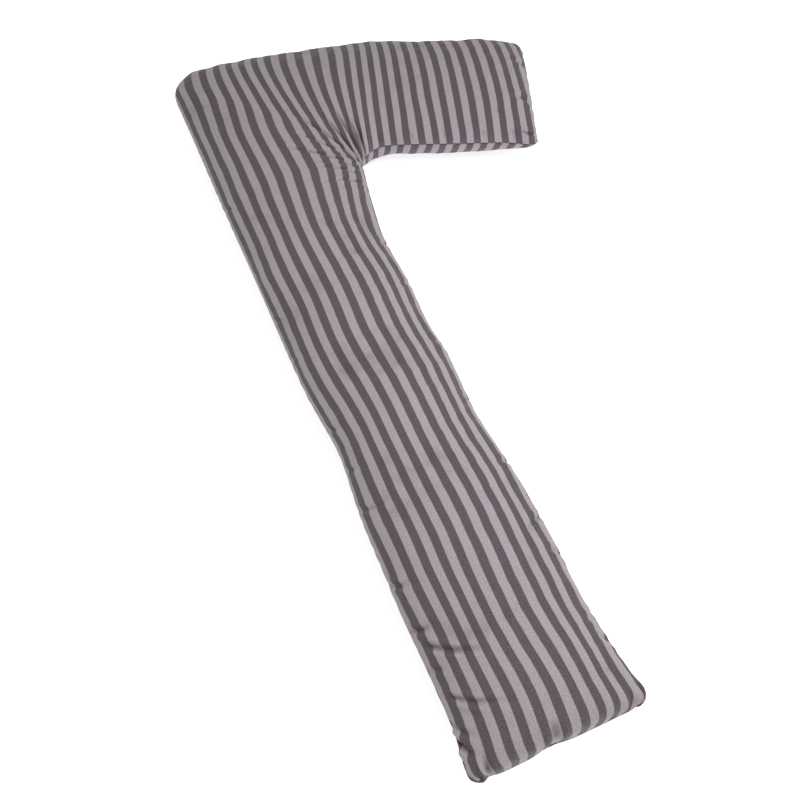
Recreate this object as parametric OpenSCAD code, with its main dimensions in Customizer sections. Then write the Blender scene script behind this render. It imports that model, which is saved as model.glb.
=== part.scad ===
// Seven-shaped nursing pillow: a long arm and a short arm that folds in towards it.
// A zipped, striped outer cover of two panels holds a sewn inner case full of loose fibre.
// Lengths are millimetres. +Y runs up the long arm to the outer corner, +X towards the tip of the
// short arm, +Z up. The origin is under the centre of the pillow's bounding box, on the floor.

/* [Outline] */
// Outer edge of the long arm, from its free end to the outer corner
long_arm_length = 1500; // [1300:5:1600]
// Width of the long arm
long_arm_width = 250; // [200:5:320]
// Outer edge of the short arm, from the outer corner to its tip
short_arm_length = 785; // [600:5:900]
// Width of the short arm
short_arm_width = 295; // [220:5:340]
// How far the short arm folds in towards the long arm, past a right angle
fold_in = 21.5; // [0:0.5:35]
// Length of the short arm's outer edge over which that fold is spread
fold_length = 525; // [200:5:600]
// Radius of the outer corner
outer_corner_r = 70; // [20:5:150]
// Radius of the inner corner, where the arms meet
inner_corner_r = 65; // [20:5:120]
// Length of the short arm's outer edge that belongs to the corner
corner_reach = 465; // [300:5:500]
// Extra width of the long arm beside the inner corner
corner_fullness = 32; // [0:1:50]
// How much the inner edge of the long arm pulls in half way along
waist = 8; // [0:1:20]
// Corner radius of the free ends, seen from above
end_corner_r = 14; // [5:1:50]
// How far the corners of the long arm's free end stand out
long_arm_ear = 8; // [0:1:20]
// How far the corners of the short arm's tip stand out
short_arm_ear = 12; // [0:1:20]

/* [Filling height] */
// Height of the long arm as it lies
long_arm_height = 165; // [120:5:220]
// Height of the short arm as it lies
short_arm_height = 165; // [120:5:220]
// Height of the side seam above the floor
seam_height = 75; // [40:1:100]
// Depth the underside would reach below the seam if the floor did not flatten it
belly = 95; // [75:1:110]
// Length over which the long arm's free end closes down to its seam
long_arm_end = 115; // [60:5:150]
// Length over which the short arm's tip closes down to its seam
short_arm_end = 115; // [60:5:150]

/* [Layers] */
// Thickness of the outer cover's cloth with its turned seam
cover_cloth = 1.2; // [0.8:0.1:2]
// Room between the outer cover and the inner case
cover_ease = 0.8; // [0.5:0.1:2]
// Thickness of the inner case's cloth
case_cloth = 1; // [0.6:0.1:2]
// Room between the inner case and the fibre
case_ease = 0.5; // [0.3:0.1:2]
// Depth of the groove between the two cover panels along their seam
seam_groove = 1; // [0.5:0.1:1.5]
// Radius of the cover's seam thread
cover_thread_r = 0.45; // [0.3:0.05:0.6]
// Radius of the inner case's seam thread
case_thread_r = 0.35; // [0.2:0.05:0.5]

/* [Zip] */
// Distance from the free end to the lower end of the zip opening
zip_start = 640; // [200:5:660]
// Length of the zip opening
zip_length = 400; // [300:10:700]
// Half the gap between the cover's edges along the zip
zip_lip = 3.4; // [3:0.1:5]
// Length over which the cover's edges part at each end of the zip
zip_taper = 30; // [10:5:50]
// How far the inner case stands back behind the zip
zip_tuck = 11; // [9:0.5:15]
// Depth of the chain behind the cover's edge
chain_depth = 3.7; // [3.5:0.1:5]
// Thickness of the chain
chain_thickness = 2.4; // [2:0.1:3]
// Width of one half of the chain
chain_width = 2.4; // [2:0.1:3]
// Half the gap the slider's wedge runs in, between the two halves of the chain
chain_gap = 0.65; // [0.5:0.05:1]
// Pitch of the teeth
tooth_pitch = 3; // [2:0.5:4]
// Length of a tooth
tooth_length = 1; // [0.6:0.1:1.5]
// Thickness of the zip tape
tape_thickness = 0.6; // [0.4:0.1:0.8]
// How far the tape runs on past each end of the zip
tape_tail = 10; // [5:1:20]
// Running clearance between the slider and the chain
slider_clearance = 0.3; // [0.2:0.05:0.5]
// Length of the slider
slider_length = 13; // [10:0.5:16]
// Wall thickness of the slider
slider_wall = 1.5; // [1:0.1:2]
// Length of the pull tab from its pivot to its tip
tab_length = 24; // [15:1:35]
// Width of the pull tab
tab_width = 4.6; // [3:0.1:5.5]
// Thickness of the pull tab
tab_thickness = 1; // [0.8:0.1:1.5]

/* [Hidden] */
eps = 0.01;
zip_end = zip_start + zip_length;
case_inset = cover_cloth + cover_ease;
fill_inset = case_inset + case_cloth + case_ease;
// Points across the pillow, and stations round the corner and along the short arm
across = 12;
corner_steps = 13;
short_steps = 4;
// Angles at which a free end is cut as it closes
end_angles = [0, 15, 32, 50, 70];

function mix(a, b, f) = a + (b - a) * f;
function clip(x) = min(1, max(0, x));
function eased(x) = pow(1 - clip(x), 2);

// Heading and place at distance s along the short arm's outer edge; the outer corner is at 0, 0
function heading(s) = fold_in * clip(s / fold_length);
fold_r = fold_length / (fold_in * PI / 180);
function edge_at(s) = [fold_r * sin(heading(s)), -fold_r * (1 - cos(heading(s)))]
  + max(0, s - fold_length) * [cos(fold_in), -sin(fold_in)];
function inward_at(s) = [-sin(heading(s)), -cos(heading(s))];

// Centre of the inner corner's rounding, tangent to the long arm and to the short arm
full_width = long_arm_width + corner_fullness;
branch = edge_at(corner_reach) + short_arm_width * inward_at(corner_reach);
branch_a = heading(corner_reach);
branch_t = (full_width + inner_corner_r - branch[0] + inner_corner_r * sin(branch_a)) / cos(branch_a);
branch_foot = branch + branch_t * [cos(branch_a), -sin(branch_a)];
inner_centre = branch_foot + inner_corner_r * inward_at(corner_reach);
arm_top = long_arm_length + inner_centre[1];

function end_round(e) = e < end_corner_r
  ? end_corner_r - sqrt(end_corner_r * end_corner_r - pow(end_corner_r - e, 2)) : 0;

// A station is [outer point, inner point, closing factor, share of the short arm, zip flag]
function long_station(e, g, d) =
  let (in_end = end_round(max(0, e - d)) - long_arm_ear * eased(e / 90) + d,
       side = waist * sin(180 * clip(e / arm_top)) - corner_fullness * eased((arm_top - e) / 250),
       zip = e > zip_start - eps && e < zip_end + eps ? 1 : 0)
  [[in_end, e - long_arm_length], [long_arm_width - side - in_end, e - long_arm_length], g, 0, zip];

// Path of the outer edge round the corner: up the long arm, round the corner, along the short arm
corner_up = -inner_centre[1] - outer_corner_r;
corner_arc = outer_corner_r * PI / 2;
corner_out = corner_reach - outer_corner_r;
// Where the corner's stations start: evenly along each of its three lengths
function corner_pos(i) = corner_up * min(i, 4) / 4 + corner_arc * clip((i - 4) / 5)
  + corner_out * max(0, i - 9) / 4;
function corner_path(s, d) =
  s < corner_up ? [d, inner_centre[1] + s]
  : s < corner_up + corner_arc
    ? let (a = (s - corner_up) / outer_corner_r * 180 / PI)
      [outer_corner_r, -outer_corner_r] + (outer_corner_r - d) * [-cos(a), sin(a)]
    : let (t = outer_corner_r + s - corner_up - corner_arc) edge_at(t) + d * inward_at(t);
function corner_station(i, d) =
  let (f = i / corner_steps, a = 180 - (90 + branch_a) * f)
  [corner_path(corner_pos(i), d), inner_centre + (inner_corner_r + d) * [cos(a), sin(a)], 1, f, 0];

function short_station(s, g, d) =
  let (e = short_arm_length - s,
       in_end = end_round(max(0, e - d)) - short_arm_ear * eased(e / 90) + d,
       settle = (branch_foot - branch) * eased((s - corner_reach) / 120))
  [edge_at(s) + in_end * inward_at(s),
   edge_at(s) + (short_arm_width - in_end) * inward_at(s) + settle, g, 1, 0];

// All stations, from the long arm's free end to the short arm's tip, for a layer d inside the cover
function stations(d) = concat(
  [for (a = end_angles) long_station(d + (long_arm_end - d) * (1 - cos(a)), sin(a), d)],
  [for (i = [0:2]) long_station(mix(long_arm_end, zip_start - zip_taper, i / 3), 1, d)],
  [long_station(zip_start - zip_taper, 1, d)],
  [for (i = [0:6]) long_station(mix(zip_start, zip_end, i / 6), 1, d)],
  [long_station(zip_end + zip_taper, 1, d)],
  [for (i = [0:corner_steps]) corner_station(i, d)],
  [for (i = [1:short_steps])
    short_station(mix(corner_reach, short_arm_length - short_arm_end, i / short_steps), 1, d)],
  [for (i = [len(end_angles) - 1:-1:0])
    short_station(short_arm_length - d - (short_arm_end - d) * (1 - cos(end_angles[i])),
      sin(end_angles[i]), d)]);
long_stop = len(end_angles) + 3;
count = len(stations(0));

// Centre of the bounding box, so that the origin is under it
box_points = [for (s = stations(0)) for (p = [s[0], s[1]]) p];
shift = [(max([for (p = box_points) p[0]]) + min([for (p = box_points) p[0]])) / 2,
  (max([for (p = box_points) p[1]]) + min([for (p = box_points) p[1]])) / 2];

// One row of points across the pillow. side is 1 above the seam and -1 below it, d the inset,
// edge the height of the row's border over the seam, lip its extra height along the zip and
// tuck how far the border stands back behind the zip
function row(s, side, d, edge, lip, tuck, last) = [for (j = [0:across])
  let (t = 180 * j / across,
       rim = j == 0 || j == across || last,
       back = j == 0 ? s[4] * tuck : 0,
       p = mix(s[0], s[1], (1 - cos(t)) / 2) + [back, 0] - shift,
       up = mix(long_arm_height, short_arm_height, s[3]) - seam_height,
       rise = (side > 0 ? up - d : belly - d) * s[2] * sin(t),
       h = rim ? edge + (j == 0 ? s[4] * lip : 0) : rise)
  [p[0], p[1], side > 0 ? seam_height + h : max(d, seam_height - h)]];
function layer(side, d, edge, lip, tuck) =
  let (st = stations(d))
  [for (i = [0:count - 1]) each row(st[i], side, d, edge, lip, tuck, i == 0 || i == count - 1)];

// Triangles of one layer, and the strip that joins the borders of two layers
function at(i, j) = i * (across + 1) + j;
function layer_faces(base, up) = [for (i = [0:count - 2]) for (j = [0:across - 1])
  let (a = base + at(i, j), b = base + at(i, j + 1), c = base + at(i + 1, j + 1), e = base + at(i + 1, j))
  each (up ? [[a, b, c], [a, c, e]] : [[c, b, a], [e, c, a]])];
border = concat([for (j = [0:across - 1]) at(0, j)], [for (i = [0:count - 2]) at(i, across)],
  [for (j = [across:-1:1]) at(count - 1, j)], [for (i = [count - 1:-1:1]) at(i, 0)]);
function strip_faces(base, up) = [for (k = [0:len(border) - 1])
  let (a = border[k], b = border[(k + 1) % len(border)])
  each (up ? [[a, base + a, base + b], [a, base + b, b]] : [[base + b, base + a, a], [b, base + b, a]])];

// A closed solid between two layers; up is true when the first layer is the upper one
module between(first, second, up) {
  n = len(first);
  polyhedron(points = concat(first, second), convexity = 6,
    faces = concat(layer_faces(0, up), layer_faces(n, !up), strip_faces(n, up)));
}

// A thread of radius r along a list of points that lie at one height z
module thread(path, z, r) {
  n = len(path);
  sides = 5;
  dirs = [for (k = [0:n - 1])
    let (v = path[min(n - 1, k + 1)] - path[max(0, k - 1)]) v / norm(v)];
  pts = [for (k = [0:n - 1]) for (q = [0:sides - 1])
    let (a = 360 * q / sides, u = dirs[k])
    [path[k][0] - u[1] * r * cos(a), path[k][1] + u[0] * r * cos(a), z + r * sin(a)]];
  walls = [for (k = [0:n - 2]) for (q = [0:sides - 1])
    let (a = k * sides + q, b = k * sides + (q + 1) % sides)
    each [[a, a + sides, b], [b, a + sides, b + sides]]];
  polyhedron(points = pts, convexity = 4,
    faces = concat([[for (q = [0:sides - 1]) q]], walls,
      [[for (q = [sides - 1:-1:0]) (n - 1) * sides + q]]));
}

// Points of one side of the outline, from station a to station b, and of a free end
function side_points(st, a, b, side, tuck) = [for (i = a < b ? [a:b] : [a:-1:b])
  st[i][side] + (side == 0 ? [st[i][4] * tuck, 0] : [0, 0]) - shift];
function end_points(s, a, b) = [for (j = a < b ? [a:b] : [a:-1:b])
  mix(s[0], s[1], (1 - cos(180 * j / across)) / 2) - shift];

module cover_top_panel() {
  color("#7f787c")
    between(layer(1, 0, seam_groove, zip_lip - seam_groove, 0), layer(1, cover_cloth, 0, zip_lip, 0), false);
}

module cover_bottom_panel() {
  color("#6b6368")
    between(layer(-1, 0, seam_groove, zip_lip - seam_groove, 0), layer(-1, cover_cloth, 0, zip_lip, 0), true);
}

module cover_seam_thread() {
  st = stations(0);
  color("#5a5257")
    thread(concat(side_points(st, long_stop + 8, count - 1, 0, 0), end_points(st[count - 1], 1, across - 1),
      side_points(st, count - 1, 0, 1, 0), end_points(st[0], across - 1, 1),
      side_points(st, 0, long_stop, 0, 0)), seam_height, cover_thread_r);
}

module inner_case_top() {
  color("#f1efe9")
    between(layer(1, case_inset, 0.9, 0, zip_tuck), layer(1, case_inset + case_cloth, 0, 0, zip_tuck), false);
}

module inner_case_bottom() {
  color("#f1efe9")
    between(layer(-1, case_inset, 0.9, 0, zip_tuck), layer(-1, case_inset + case_cloth, 0, 0, zip_tuck), true);
}

// The inner case's seam stops either side of the opening that the fibre goes in by
module inner_case_seam_thread() {
  st = stations(case_inset);
  color("#ffffff")
    thread(concat(end_points(st[0], 8, across - 1), side_points(st, 0, count - 1, 1, 0),
      end_points(st[count - 1], across - 1, 1), side_points(st, count - 1, 0, 0, zip_tuck),
      end_points(st[0], 1, 4)), seam_height, case_thread_r);
}

// A row of longer stitches closes that opening
module inner_case_closing_stitch() {
  st = stations(case_inset);
  a = mix(st[0][0], st[0][1], 0.27) - shift;
  b = mix(st[0][0], st[0][1], 0.73) - shift;
  run = norm(b - a);
  color("#ffffff")
    translate([a[0], a[1], seam_height])
      rotate([0, 90, 0])
        union() {
          cylinder(r = case_thread_r * 0.6, h = run, $fn = 24);
          for (i = [0:9])
            translate([0, 0, run * (i + 0.2) / 10])
              cylinder(r = case_thread_r, h = run * 0.06, $fn = 24);
        }
}

module fibre_fill() {
  color("#fbfaf6")
    between(layer(1, fill_inset, 0.5, 0, zip_tuck), layer(-1, fill_inset, 0.5, 0, zip_tuck), false);
}

// Zip: everything is drawn about the opening's straight edge, x = 0 at the edge and z = 0 at the seam
module at_zip(e) {
  translate([-shift[0], e - long_arm_length - shift[1], seam_height])
    children();
}

// A strip of the given outline in depth and height, running up the long arm
module along(from, to, outline) {
  at_zip(to)
    rotate([90, 0, 0])
      linear_extrude(to - from)
        polygon(outline);
}

tape_x = chain_depth + (chain_thickness - tape_thickness) / 2;
tape_root = chain_gap + chain_width;
tape_outline = [[tape_x, tape_root], [tape_x + tape_thickness, tape_root],
  [tape_x + tape_thickness, 5.2], [4, 8], [5, 15], [4.4, 15], [3.4, 8], [tape_x, 5.2]];

module zip_tape_upper() {
  color("#4e484c")
    along(zip_start - tape_tail, zip_end + tape_tail, tape_outline);
}

module zip_tape_lower() {
  color("#4e484c")
    along(zip_start - tape_tail, zip_end + tape_tail, [for (p = tape_outline) [p[0], -p[1]]]);
}

// A line of stitches that holds a tape behind its panel
module tape_stitch(side) {
  run = zip_length + tape_tail;
  color("#5a5257")
    at_zip(zip_start - tape_tail / 2)
      translate([4.95, 0, side * 11.5])
        rotate([-90, 0, 0])
          union() {
            cylinder(r = 0.2, h = run, $fn = 24);
            for (i = [0:35])
              translate([0, 0, run * (i + 0.25) / 36])
                cylinder(r = 0.32, h = run / 72, $fn = 24);
          }
}

module zip_stitch_upper() {
  tape_stitch(1);
}

module zip_stitch_lower() {
  tape_stitch(-1);
}

// Half of the chain: a spine along the tape and teeth that reach for the other half
chain_start = zip_start + 4;
chain_end = zip_end - 4;
teeth = floor((chain_end - chain_start) / tooth_pitch);
module chain_half(side) {
  root = chain_gap + chain_width * 0.55;
  color("#3c373b")
    at_zip(chain_start)
      translate([chain_depth, 0, 0])
        rotate([90, 0, 90])
          linear_extrude(chain_thickness)
            polygon([for (p = concat([[0, tape_root], [0, root]],
              [for (i = [0:teeth - 1]) for (q = [[0, root], [0, chain_gap], [tooth_length, chain_gap],
                [tooth_length, root]]) [q[0] + (i + 0.3) * tooth_pitch, q[1]]],
              [[chain_end - chain_start, root], [chain_end - chain_start, tape_root]])) [p[0], side * p[1]]]);
}

module zip_chain_upper() {
  chain_half(1);
}

module zip_chain_lower() {
  chain_half(-1);
}

// A crimped block that closes one end of the chain
module stop_block(from, low, high) {
  color("#8c8c90")
    at_zip(from)
      translate([chain_depth, 0, low])
        difference() {
          cube([chain_thickness, 3, high - low]);
          for (z = [tape_root - 0.05, -tape_root - 1.35])
            translate([tape_x - chain_depth - 0.05, -eps, z - low])
              cube([tape_thickness + 0.1, 4, 1.4]);
        }
}

module zip_top_stop_upper() {
  stop_block(chain_end, chain_gap, tape_root + 0.9);
}

module zip_top_stop_lower() {
  stop_block(chain_end, -tape_root - 0.9, -chain_gap);
}

module zip_bottom_stop() {
  stop_block(chain_start - 3, -tape_root - 0.9, tape_root + 0.9);
}

// The slider's middle when the zip is shut, and the pivot of its pull tab
slider_home = chain_end - 0.5 - slider_length / 2;
pivot_x = -0.3;
slider_in = chain_depth - slider_clearance;
slider_out = chain_depth + chain_thickness + slider_clearance;
slider_half = tape_root + slider_clearance;
module slider_plate(x) {
  translate([x, 0, 0])
    rotate([90, 0, 90])
      linear_extrude(slider_wall)
        intersection() {
          square([slider_length, 2 * (slider_half + 1.2)], center = true);
          union() {
            circle(r = slider_half + 2.4, $fn = 48);
            translate([-slider_length / 2, -slider_half])
              square([slider_length, 2 * slider_half]);
          }
        }
}

// One ear of the slider: an upright with a round top
module slider_ear(low) {
  translate([pivot_x, 0, low])
    cylinder(r = 1.1, h = 0.9, $fn = 48);
  translate([pivot_x, -1.1, low])
    cube([slider_in - slider_wall - pivot_x + 0.2, 2.2, 0.9]);
}

module zip_slider_body() {
  color("#9a9a9e")
    at_zip(slider_home)
      union() {
        slider_plate(slider_in - slider_wall);
        slider_plate(slider_out);
        // wedge between the halves of the chain
        translate([slider_in - eps, slider_length / 2 - 3.5, -chain_gap + slider_clearance])
          cube([slider_out - slider_in + 2 * eps, 3, 2 * (chain_gap - slider_clearance)]);
        // flanges that hold the chain in
        for (z = [slider_half, -slider_half - 0.9])
          for (x = [slider_in - eps, slider_out - 0.75 + eps])
            translate([x, -slider_length * 0.3, z])
              cube([0.75, slider_length * 0.6, 0.9]);
        // ears and the pivot pin that they carry
        slider_ear(1.7);
        slider_ear(-2.6);
        translate([pivot_x, 0, -2.4])
          cylinder(r = 0.5, h = 4.8, $fn = 48);
      }
}

module zip_pull_tab() {
  color("#a6a6aa")
    at_zip(slider_home)
      translate([pivot_x, 0, 0])
        difference() {
          union() {
            translate([0, 0, -1.4])
              cylinder(r = 1.05, h = 2.8, $fn = 48);
            translate([-tab_thickness / 2, -6, -1.4])
              cube([tab_thickness, 6, 2.8]);
            translate([-tab_thickness / 2, -tab_length + tab_width / 2, -tab_width / 2])
              cube([tab_thickness, tab_length - tab_width / 2 - 4, tab_width]);
            translate([-tab_thickness / 2, -tab_length + tab_width / 2, 0])
              rotate([0, 90, 0])
                cylinder(d = tab_width, h = tab_thickness, $fn = 48);
          }
          translate([0, 0, -2])
            cylinder(r = 0.58, h = 4, $fn = 48);
          translate([-tab_thickness, -tab_length + tab_width / 2, 0])
            rotate([0, 90, 0])
              cylinder(r = 1.1, h = 2 * tab_thickness, $fn = 48);
        }
}

cover_top_panel();
cover_bottom_panel();
cover_seam_thread();
inner_case_top();
inner_case_bottom();
inner_case_seam_thread();
inner_case_closing_stitch();
fibre_fill();
zip_tape_upper();
zip_tape_lower();
zip_stitch_upper();
zip_stitch_lower();
zip_chain_upper();
zip_chain_lower();
zip_top_stop_upper();
zip_top_stop_lower();
zip_bottom_stop();
zip_slider_body();
zip_pull_tab();
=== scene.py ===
"""Looks of the seven-shaped nursing pillow: a striped, zipped cover of two sewn panels.

The cover is cut flat, sewn along its edge, inflated by a cloth simulation and laid in the place
that the CAD model gives it. All lengths are metres, in the CAD frame.
"""

import math

import bmesh
import bpy
import numpy as np
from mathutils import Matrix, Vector, geometry


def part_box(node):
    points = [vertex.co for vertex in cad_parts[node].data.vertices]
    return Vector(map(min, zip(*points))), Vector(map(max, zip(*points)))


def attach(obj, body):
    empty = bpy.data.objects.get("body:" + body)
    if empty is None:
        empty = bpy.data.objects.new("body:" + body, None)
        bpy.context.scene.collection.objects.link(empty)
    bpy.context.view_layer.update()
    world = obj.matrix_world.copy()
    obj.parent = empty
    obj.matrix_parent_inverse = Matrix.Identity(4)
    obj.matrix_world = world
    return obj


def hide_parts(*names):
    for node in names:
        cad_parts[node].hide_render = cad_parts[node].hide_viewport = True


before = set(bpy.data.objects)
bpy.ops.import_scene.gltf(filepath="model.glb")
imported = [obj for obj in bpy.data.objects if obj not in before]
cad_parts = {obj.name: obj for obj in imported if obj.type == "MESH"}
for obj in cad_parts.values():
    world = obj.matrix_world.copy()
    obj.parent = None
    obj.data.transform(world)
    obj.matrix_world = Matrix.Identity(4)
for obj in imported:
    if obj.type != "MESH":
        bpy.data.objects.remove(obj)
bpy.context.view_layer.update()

# ---------------------------------------------------------------- outline of the pillow
LONG_ARM = 1.5
# The zip's tape starts and ends this far past the opening, which starts this far from the free end
TAPE_TAIL, OPENING = 0.010, 0.640
TAPE_BEHIND = 0.0034  # from the pillow's straight outer edge back to the tape's front
tape = np.array([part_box("zip_tape_upper"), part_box("zip_tape_lower")])
SEAM_Z = (tape[0, 0, 2] + tape[1, 1, 2]) / 2
ZIP_FROM, ZIP_TO = tape[0, 0, 1] + TAPE_TAIL, tape[0, 1, 1] - TAPE_TAIL
EDGE_X = tape[0, 0, 0] - TAPE_BEHIND
FREE_END_Y = ZIP_FROM - OPENING
# From the pillow's outer corner to the frame's origin
SHIFT = np.array([-EDGE_X, -FREE_END_Y - LONG_ARM])


class Outline:
    """The pillow seen from above, with the outer corner at 0, 0 and the long arm along -Y.

    A place in it is (k, f): k runs from 0 at the long arm's free end to 1 where the corner starts,
    2 where it ends and 3 at the short arm's tip, and f from 0 at the outer edge to 1 at the inner.

    long, width, short and depth are the arms' lengths and widths. The short arm turns down by fold
    degrees over fold_len. The corner has the radii r_out and r_in and ends at reach. full swells its
    inner side and waist narrows the long arm. The ears are how far the free ends' corners stand out,
    and end_r rounds them. pinches lists (place, length, depth) for the outer and the inner side.
    """

    # How far from its end an ear, the corner's fullness and the short arm's settling fade out
    EAR_RUN, FULL_RUN, SETTLE_RUN = 0.09, 0.25, 0.12

    def __init__(self, long, width, short, depth, fold, fold_len, r_out, r_in, reach, full=0.0,
                 waist=0.0, ear_long=0.0, ear_short=0.0, end_r=0.014, pinches=((), ())):
        self.long, self.width, self.short, self.depth = long, width, short, depth
        self.fold, self.fold_len = math.radians(fold), fold_len
        self.r_out, self.r_in, self.reach = r_out, r_in, reach
        self.full, self.waist = full, waist
        self.ear_long, self.ear_short, self.end_r = ear_long, ear_short, end_r
        self.pinches = pinches
        edge, inward = self.edge(np.array([reach]))
        branch = edge[0] + depth * inward[0]
        a = self.fold * min(1.0, reach / fold_len)
        run = (width + full + r_in - branch[0] + r_in * math.sin(a)) / math.cos(a)
        self.foot = branch + run * np.array([math.cos(a), -math.sin(a)])
        self.branch = branch
        self.centre = self.foot + r_in * inward[0]
        self.turn = math.pi / 2 + a
        self.arm_top = long + self.centre[1]
        self.up = -self.centre[1] - r_out
        self.arc = r_out * math.pi / 2
        self.path = self.up + self.arc + reach - r_out

    def edge(self, s):
        """Outer edge of the short arm at distance s from the corner, and its inward direction."""
        s = np.asarray(s, float)
        r = self.fold_len / self.fold
        h = self.fold * np.clip(s / self.fold_len, 0, 1)
        over = np.maximum(0, s - self.fold_len)
        p = np.stack([r * np.sin(h) + over * math.cos(self.fold),
                      -r * (1 - np.cos(h)) - over * math.sin(self.fold)], -1)
        return p, np.stack([-np.sin(h), -np.cos(h)], -1)

    def end_in(self, e, ear):
        """How far the outline stands in from its edge at distance e from a free end."""
        c = np.clip(self.end_r - e, 0, self.end_r)
        rounding = self.end_r - np.sqrt(self.end_r ** 2 - c ** 2)
        return rounding - ear * np.clip(1 - e / self.EAR_RUN, 0, 1) ** 2

    def pinched(self, side, y):
        """How far one side of the long arm is drawn in where the filling is slack."""
        return sum((d * np.exp(-((y - at) / wide) ** 2) for at, wide, d in self.pinches[side]),
                   np.zeros_like(y))

    def sides(self, k):
        """Outer and inner points of the outline at each k."""
        k = np.asarray(k, float)
        e = k * self.arm_top
        i = self.end_in(e, self.ear_long)
        side = (self.waist * np.sin(np.pi * np.clip(k, 0, 1))
                - self.full * np.clip(1 - (self.arm_top - e) / self.FULL_RUN, 0, 1) ** 2)
        y = e - self.long
        out1 = np.stack([i + self.pinched(0, y), y], -1)
        in1 = np.stack([self.width - side - i - self.pinched(1, y), y], -1)
        f = np.clip(k - 1, 0, 1)
        s = f * self.path
        a = np.clip((s - self.up) / self.r_out, 0, math.pi / 2)
        turn = np.stack([self.r_out * (1 - np.cos(a)), -self.r_out * (1 - np.sin(a))], -1)
        rest, _ = self.edge(np.maximum(self.r_out + s - self.up - self.arc, self.r_out))
        up = np.stack([np.zeros_like(s), self.centre[1] + s], -1)
        out2 = np.where((s < self.up)[..., None], up,
                        np.where((s < self.up + self.arc)[..., None], turn, rest))
        b = math.pi - self.turn * f
        in2 = self.centre + self.r_in * np.stack([np.cos(b), np.sin(b)], -1)
        g = np.clip(k - 2, 0, 1)
        s = self.reach + g * (self.short - self.reach)
        p, n = self.edge(s)
        i = self.end_in(self.short - s, self.ear_short)[..., None]
        part = np.clip(1 - (s - self.reach) / self.SETTLE_RUN, 0, 1) ** 2
        settle = (self.foot - self.branch) * part[..., None]
        out3, in3 = p + i * n, p + (self.depth - i) * n + settle
        pick = [(k < 1)[..., None], (k < 2)[..., None]]
        return np.select(pick, [out1, out2], out3), np.select(pick, [in1, in2], in3)

    def place(self, pts):
        """(k, f) of each point, by halving the interval of its part of the outline."""
        o2, i2 = self.sides(np.array([2.0]))
        d = o2[0] - i2[0]
        beyond = (d[0] * (pts[:, 1] - i2[0, 1]) - d[1] * (pts[:, 0] - i2[0, 0])) < 0
        short = beyond & (pts[:, 0] > i2[0, 0] - 0.02)
        low_part = (pts[:, 1] < self.centre[1]) & ~short
        lo = np.where(short, 2.0, np.where(low_part, 0.0, 1.0))
        hi = lo + 1.0
        for _ in range(34):
            mid = (lo + hi) / 2
            o, i = self.sides(mid)
            d, q = o - i, pts - i
            ahead = d[:, 0] * q[:, 1] - d[:, 1] * q[:, 0] < 0
            ahead = np.where(low_part, pts[:, 1] > i[:, 1], ahead)
            lo, hi = np.where(ahead, mid, lo), np.where(ahead, hi, mid)
        k = (lo + hi) / 2
        o, i = self.sides(k)
        d = i - o
        f = np.clip(np.einsum("ij,ij->i", pts - o, d) / np.einsum("ij,ij->i", d, d), 0, 1)
        return k, f


# The cover as cut, flat
CUT = Outline(long=1.530, width=0.306, short=0.800, depth=0.350, fold=7.0, fold_len=0.525,
              r_out=0.08, r_in=0.06, reach=0.385, end_r=0.012)
# The pillow as it lies: near the CAD outline, with rounder ends, a short arm 4 mm wider and a slightly
# different corner and waist, and drawn in or swollen a little along the long arm
LAID = Outline(long=LONG_ARM, width=0.25, short=0.785, depth=0.299, fold=21.5, fold_len=0.525,
               r_out=0.07, r_in=0.065, reach=0.465, full=0.029, waist=0.006,
               ear_long=0.014, ear_short=0.014, end_r=0.024,
               pinches=(((-0.98, 0.085, 0.010), (-1.26, 0.06, -0.002)),
                        ((-1.02, 0.08, 0.008), (-1.34, 0.07, 0.007), (-0.82, 0.06, 0.004),
                         (-0.60, 0.06, 0.003))))
CELL = 0.0085  # size of the cloth's triangles
PRESSURE = 1.6
# How far the two free ends' seams sag, and how far the long arm's is pushed out (here, drawn in)
END_DROP, TIP_DROP, END_OUT = 0.024, 0.014, -0.003
# Where the long arm's end seam is tucked in, as shares of its width, and how far
END_TUCKS, TUCK_IN = (0.17, 0.47, 0.93), 0.006
FRAMES = 32  # steps of the cloth simulation
FAR = 10.0  # further than any place on the pillow is from its ends


def smooth_step(lo, hi, v):
    """0 at lo and 1 at hi, easing in and out."""
    t = np.clip((v - lo) / (hi - lo), 0, 1)
    return t * t * (3 - 2 * t)


def run_of(pts):
    """Distance along a line of points."""
    return np.concatenate([[0], np.cumsum(np.linalg.norm(np.diff(pts, axis=0), axis=1))])


def cut_boundary(step):
    """Points round the cut panel's edge, about step apart, as one closed loop."""
    k = np.concatenate([np.linspace(0, 0.02, 40), np.linspace(0.02, 2.98, 4000)[1:],
                        np.linspace(2.98, 3, 40)[1:]])
    o, i = CUT.sides(k)
    loop = np.concatenate([o, i[::-1]])
    loop = np.concatenate([loop, loop[:1]])
    run = run_of(loop)
    n = int(round(run[-1] / step))
    at = np.linspace(0, run[-1], n, endpoint=False)
    return np.stack([np.interp(at, run, loop[:, 0]), np.interp(at, run, loop[:, 1])], -1)


def inside(pts, loop):
    """Whether each point is inside the closed loop."""
    a, b = loop, np.roll(loop, -1, axis=0)
    x, y = pts[:, :1], pts[:, 1:]
    crosses = (a[:, 1] > y) != (b[:, 1] > y)
    with np.errstate(divide="ignore", invalid="ignore"):
        at = a[:, 0] + (y - a[:, 1]) * (b[:, 0] - a[:, 0]) / (b[:, 1] - a[:, 1])
    return (np.sum(crosses & (x < at), axis=1) % 2) == 1


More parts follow.
